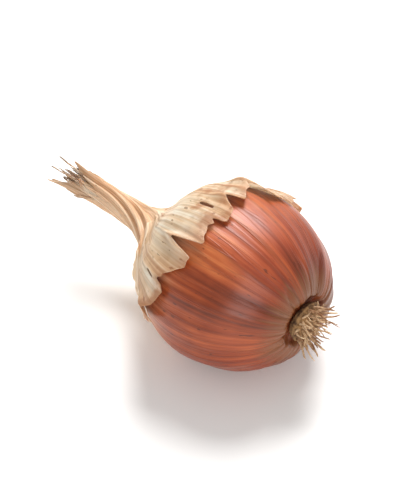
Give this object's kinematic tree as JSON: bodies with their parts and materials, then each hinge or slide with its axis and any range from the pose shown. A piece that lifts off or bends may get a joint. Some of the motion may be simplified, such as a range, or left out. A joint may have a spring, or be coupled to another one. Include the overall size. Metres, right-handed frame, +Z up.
{
  "type": "shallot",
  "caption": "Shallot lying on its side: a rounded copper-skinned bulb with a folded dry neck, a loose torn outer leaf over the shoulder and a tuft of dried roots.",
  "frame": {"origin": "on the surface that the shallot lies on, under the middle of its box", "axes": "+X along the bulb towards its roots, so the dried neck points to -X; +Z up; -Y is the front"},
  "size_m": [0.0552, 0.0322, 0.0276],
  "materials": {
    "copper_skin": "satin, dry papery skin with lengthwise veins",
    "straw_skin": "dull, dry and papery",
    "dried_root": "matt and fibrous"
  },
  "bodies": {
    "root": {"bulb": "copper_skin", "torn_skin": "straw_skin", "root_tuft": "dried_root"}
  },
  "joints": []
}
